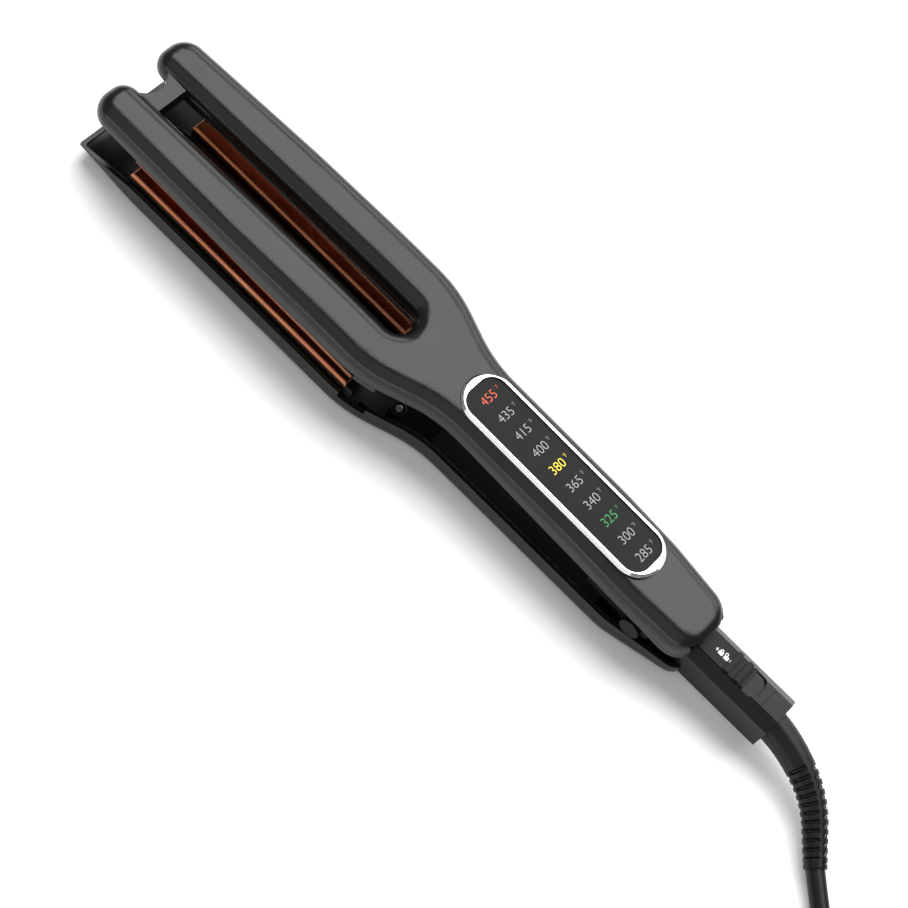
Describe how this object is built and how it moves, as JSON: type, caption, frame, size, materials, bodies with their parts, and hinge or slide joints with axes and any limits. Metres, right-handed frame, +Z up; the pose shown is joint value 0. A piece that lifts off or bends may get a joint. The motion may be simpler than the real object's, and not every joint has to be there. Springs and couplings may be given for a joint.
{
  "type": "hair iron",
  "caption": "Hand-held hair iron: two hinged forked jaws with narrow copper hot plates, a display in the upper handle, a lock slider on the tail and a coiled mains lead.",
  "frame": {"origin": "under the middle of the body, without its cord, on the surface the lower arm lies on", "axes": "+X from the tail to the tip of the jaws, +Y to the left seen from the tail, +Z up through the display"},
  "size_m": [0.509, 0.098, 0.0397],
  "materials": {
    "housing_grey": "satin charcoal",
    "inner_black": "fine matt",
    "heat_black": "matt heat-resistant",
    "copper": "satin copper-coloured ceramic coating",
    "ceramic": "matt",
    "silicone": "matt",
    "board_green": "solder mask",
    "steel": "bright",
    "bush_grey": "smooth",
    "chrome": "polished",
    "window_black": "gloss",
    "cord_black": "satin"
  },
  "bodies": {
    "lower_arm": {"lower_housing": "housing_grey", "lower_heater_frame": "heat_black", "lower_cushions_left": "silicone", "lower_cushions_right": "silicone", "lower_liner": "inner_black", "control_board": "board_green", "tail_bottom": "housing_grey", "tail_top": "housing_grey", "hinge_pin": "steel", "hinge_cap_left": "inner_black", "hinge_cap_right": "inner_black", "hinge_spring": "steel", "swivel_barrel": "bush_grey", "end_cap": "housing_grey", "lock_spring": "steel", "lower_screws": "steel", "strain_relief": "cord_black", "cord_lead": "cord_black", "cord_coil": "cord_black", "cord_tie": "cord_black", "plug_body": "cord_black", "plug_blades": "steel"},
    "upper_arm": {"upper_housing": "housing_grey", "upper_heater_frame": "heat_black", "upper_plate_left": "copper", "upper_plate_right": "copper", "upper_carrier_left": "heat_black", "upper_carrier_right": "heat_black", "upper_heater_left": "ceramic", "upper_heater_right": "ceramic", "thermal_fuse": "steel", "upper_liner": "inner_black", "switch_board": "board_green", "hinge_bracket": "inner_black", "hinge_bush_left": "bush_grey", "hinge_bush_right": "bush_grey", "upper_screws": "steel", "display_bezel": "chrome", "display_window": "window_black", "display_board": "board_green"},
    "left_plate": {"lower_plate_left": "copper", "lower_carrier_left": "heat_black", "lower_heater_left": "ceramic"},
    "right_plate": {"lower_plate_right": "copper", "lower_carrier_right": "heat_black", "lower_heater_right": "ceramic"},
    "lock": {"lock_slider": "inner_black"},
    "power_key": {"power_button": "inner_black"},
    "raise_key": {"raise_button": "inner_black"},
    "lower_key": {"lower_button": "inner_black"}
  },
  "joints": [
    {"name": "arm_hinge", "type": "hinge", "parent": "lower_arm", "child": "upper_arm", "pos_m": [-0.105, 0, 0.017], "axis": [0, -1, 0], "range_deg": [-1.5, 8.7], "stiffness_Nm_per_rad": 1.2, "springref_deg": 9.17},
    {"name": "left_plate_float", "type": "slide", "parent": "lower_arm", "child": "left_plate", "axis": [0, 0, -1], "range_m": [0, 0.001], "stiffness_N_per_m": 2500, "deforming": ["lower_cushions_left"]},
    {"name": "right_plate_float", "type": "slide", "parent": "lower_arm", "child": "right_plate", "axis": [0, 0, -1], "range_m": [0, 0.001], "stiffness_N_per_m": 2500, "deforming": ["lower_cushions_right"]},
    {"name": "lock_slide", "type": "slide", "parent": "lower_arm", "child": "lock", "axis": [1, 0, 0], "range_m": [0, 0.005]},
    {"name": "power_press", "type": "slide", "parent": "upper_arm", "child": "power_key", "axis": [-0.0262, 0, 0.9997], "range_m": [0, 0.0006], "stiffness_N_per_m": 1500, "springref_m": -0.0004},
    {"name": "raise_press", "type": "slide", "parent": "upper_arm", "child": "raise_key", "axis": [-0.0262, 0, 0.9997], "range_m": [0, 0.0006], "stiffness_N_per_m": 1500, "springref_m": -0.0004},
    {"name": "lower_press", "type": "slide", "parent": "upper_arm", "child": "lower_key", "axis": [-0.0262, 0, 0.9997], "range_m": [0, 0.0006], "stiffness_N_per_m": 1500, "springref_m": -0.0004}
  ]
}
